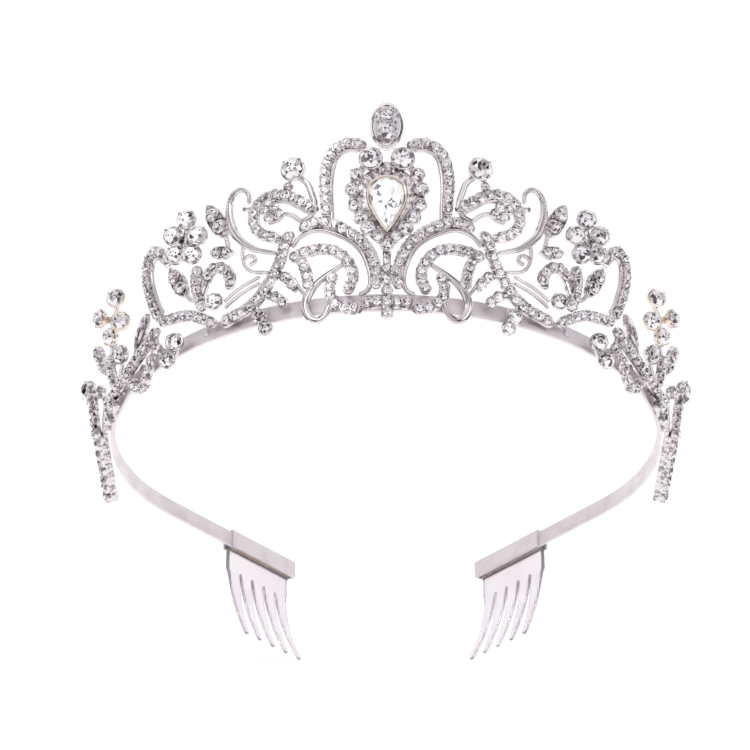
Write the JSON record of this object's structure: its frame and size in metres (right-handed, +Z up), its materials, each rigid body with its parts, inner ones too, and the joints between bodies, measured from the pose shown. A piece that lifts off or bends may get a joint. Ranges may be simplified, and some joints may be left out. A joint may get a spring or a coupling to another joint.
{
  "type": "bridal tiara",
  "caption": "Bridal tiara: springy headband with a clear comb at each end, carrying cast silver scrollwork, leaves and flowers set with clear glass stones.",
  "frame": {"origin": "head seat: the centre of the headband's front arc, in the plane of the band's lower edge", "axes": "+X towards the wearer's left side seen from the front (to the viewer's right), +Y from the front of the head to the back, +Z up as worn; the band's plane is tilted by 30 degrees, front edge up"},
  "size_m": [0.1562, 0.1316, 0.1432],
  "materials": {
    "silver_strip": "bright silver plate on rolled strip, fine lengthwise drawing marks",
    "silver_casting": "bright silver plate on a zinc casting, tumbled edges",
    "solder": "soft satin solder",
    "rhinestone": "clear faceted glass, foil backed",
    "pear_crystal": "large clear faceted pear, foil backed",
    "clear_plastic": "clear moulded plastic with a faint pink-lilac tint",
    "adhesive": "dried clear-brown adhesive"
  },
  "bodies": {
    "root": {"headband": "silver_strip", "comb_channel_right": "silver_strip", "comb_channel_left": "silver_strip", "side_comb_right": "clear_plastic", "side_comb_left": "clear_plastic", "comb_adhesive_right": "adhesive", "comb_adhesive_left": "adhesive", "solder_joints": "solder", "center_crown": "silver_casting", "crown_stones": "rhinestone", "finial_bezel": "silver_casting", "finial_stones": "rhinestone", "pear_bezel": "silver_casting", "pear_stone": "pear_crystal", "halo_stones": "rhinestone", "inner_scroll_right": "silver_casting", "inner_scroll_left": "silver_casting", "inner_scroll_stones_right": "rhinestone", "inner_scroll_stones_left": "rhinestone", "spiral_curl_right": "silver_casting", "spiral_curl_left": "silver_casting", "spiral_stones_right": "rhinestone", "spiral_stones_left": "rhinestone", "lower_strand_right": "silver_casting", "lower_strand_left": "silver_casting", "lower_strand_stones_right": "rhinestone", "lower_strand_stones_left": "rhinestone", "feather_wire_right": "silver_casting", "feather_wire_left": "silver_casting", "cross_wires_right": "silver_casting", "cross_wires_left": "silver_casting", "leaf_spray_right": "silver_casting", "leaf_spray_left": "silver_casting", "leaf_stones_right": "rhinestone", "leaf_stones_left": "rhinestone", "front_flower_right": "silver_casting", "front_flower_left": "silver_casting", "front_flower_stones_right": "rhinestone", "front_flower_stones_left": "rhinestone", "side_arch_right": "silver_casting", "side_arch_left": "silver_casting", "side_arch_stones_right": "rhinestone", "side_arch_stones_left": "rhinestone", "inner_branch_right": "silver_casting", "inner_branch_left": "silver_casting", "inner_branch_stones_right": "rhinestone", "inner_branch_stones_left": "rhinestone", "side_wing_right": "silver_casting", "side_wing_left": "silver_casting", "side_wing_stones_right": "rhinestone", "side_wing_stones_left": "rhinestone", "side_flower_right": "silver_casting", "side_flower_left": "silver_casting", "side_flower_stones_right": "rhinestone", "side_flower_stones_left": "rhinestone", "tail_spray_right": "silver_casting", "tail_spray_left": "silver_casting", "tail_stones_right": "rhinestone", "tail_stones_left": "rhinestone"}
  },
  "joints": []
}
